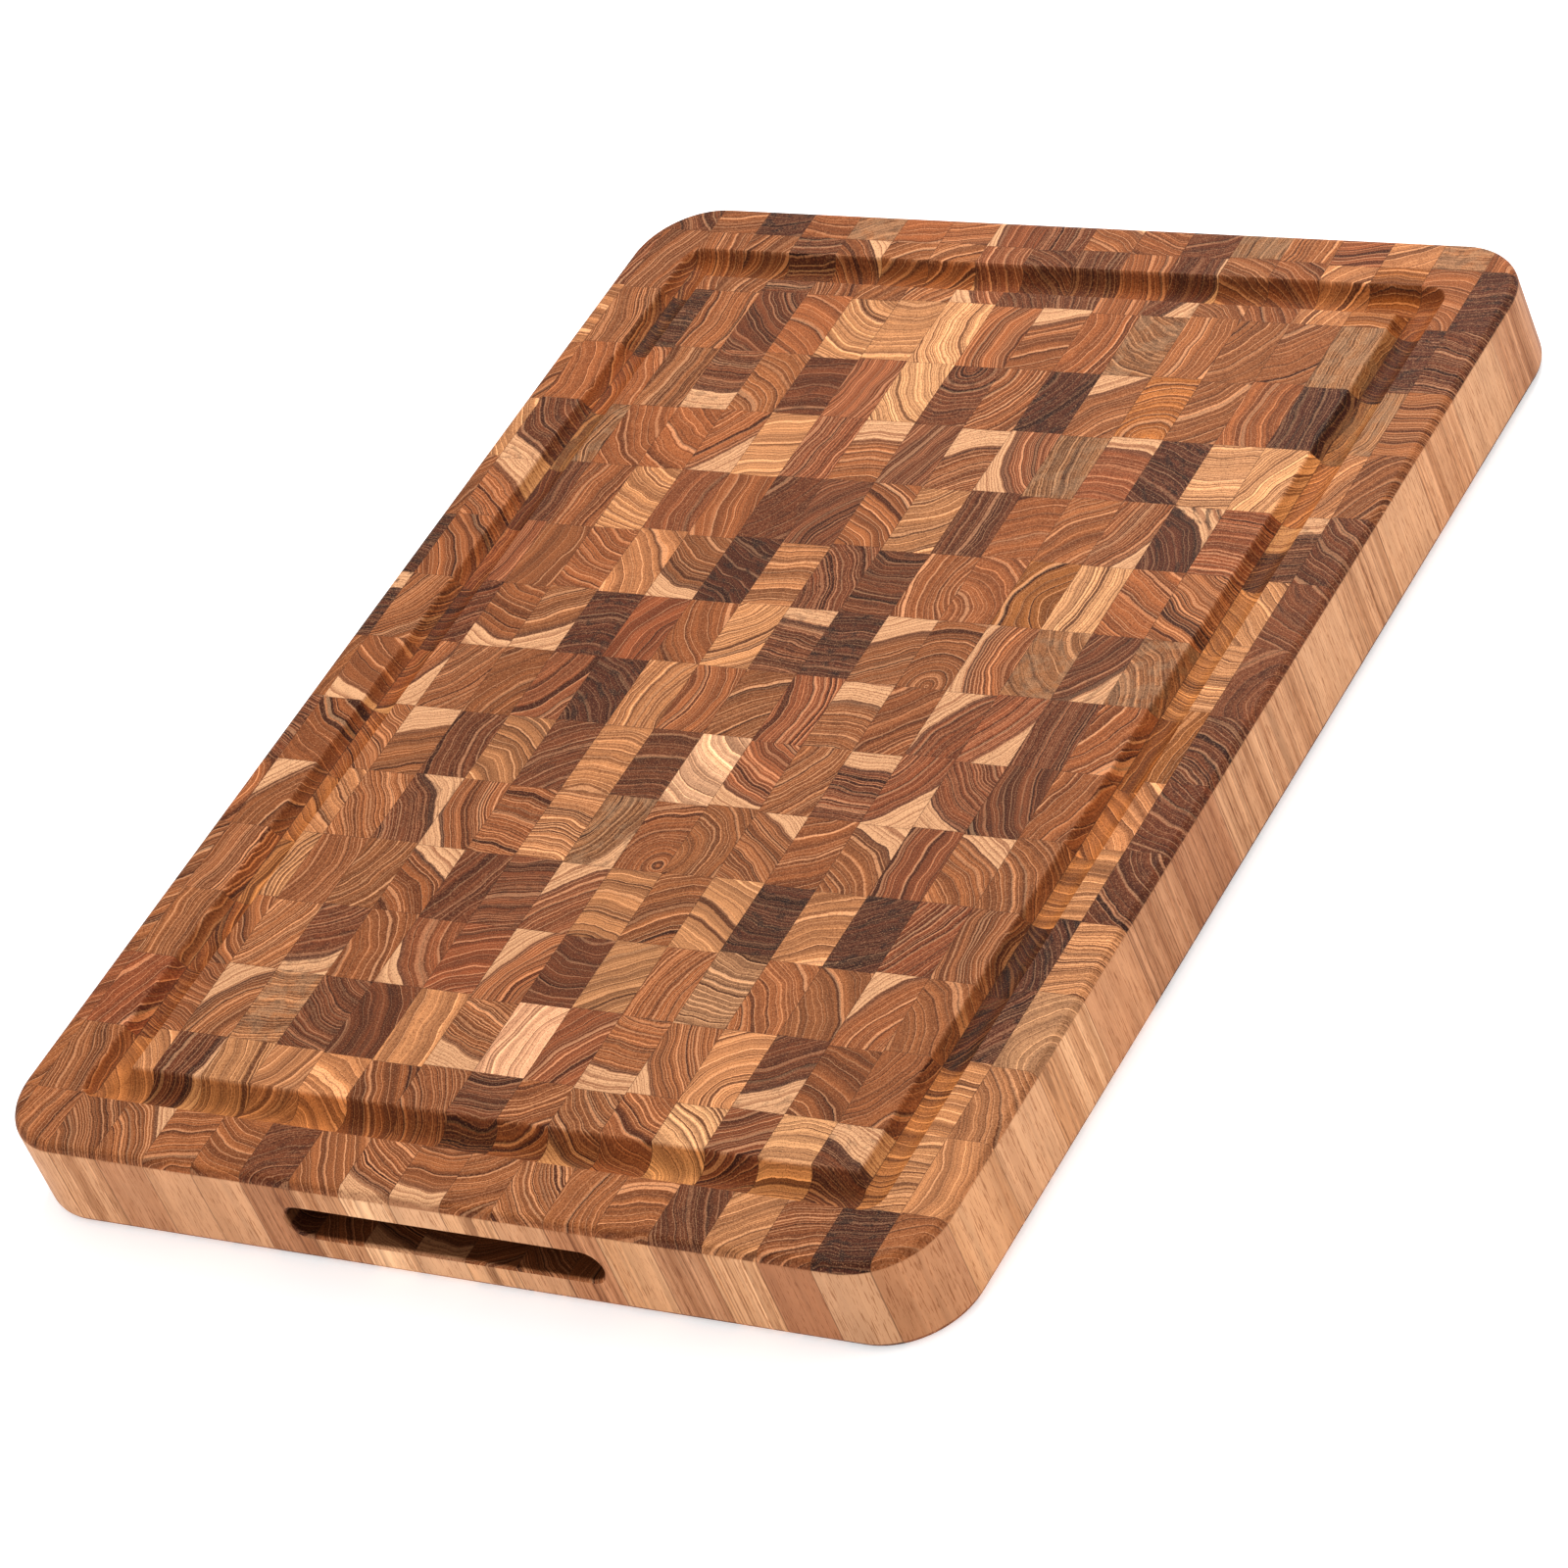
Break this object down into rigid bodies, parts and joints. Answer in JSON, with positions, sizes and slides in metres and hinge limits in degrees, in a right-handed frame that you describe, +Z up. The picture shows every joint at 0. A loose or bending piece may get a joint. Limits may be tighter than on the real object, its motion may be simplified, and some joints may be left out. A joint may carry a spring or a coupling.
{
  "type": "cutting board",
  "caption": "Rectangular end-grain hardwood board of glued blocks, with a juice groove round the top and a finger grip in each short side.",
  "frame": {"origin": "centre of the underside", "axes": "+Z up through the thickness, +Y along the length towards the far finger grip, +X across the width"},
  "size_m": [0.381, 0.508, 0.038],
  "materials": {
    "end_grain_wood": "oiled, satin"
  },
  "bodies": {
    "root": {"strip_01": "end_grain_wood", "strip_02": "end_grain_wood", "strip_03": "end_grain_wood", "strip_04": "end_grain_wood", "strip_05": "end_grain_wood", "strip_06": "end_grain_wood", "strip_07": "end_grain_wood", "strip_08": "end_grain_wood", "strip_09": "end_grain_wood", "strip_10": "end_grain_wood", "strip_11": "end_grain_wood", "strip_12": "end_grain_wood", "strip_13": "end_grain_wood", "strip_14": "end_grain_wood", "strip_15": "end_grain_wood", "strip_16": "end_grain_wood", "strip_17": "end_grain_wood", "strip_18": "end_grain_wood", "strip_19": "end_grain_wood"}
  },
  "joints": []
}
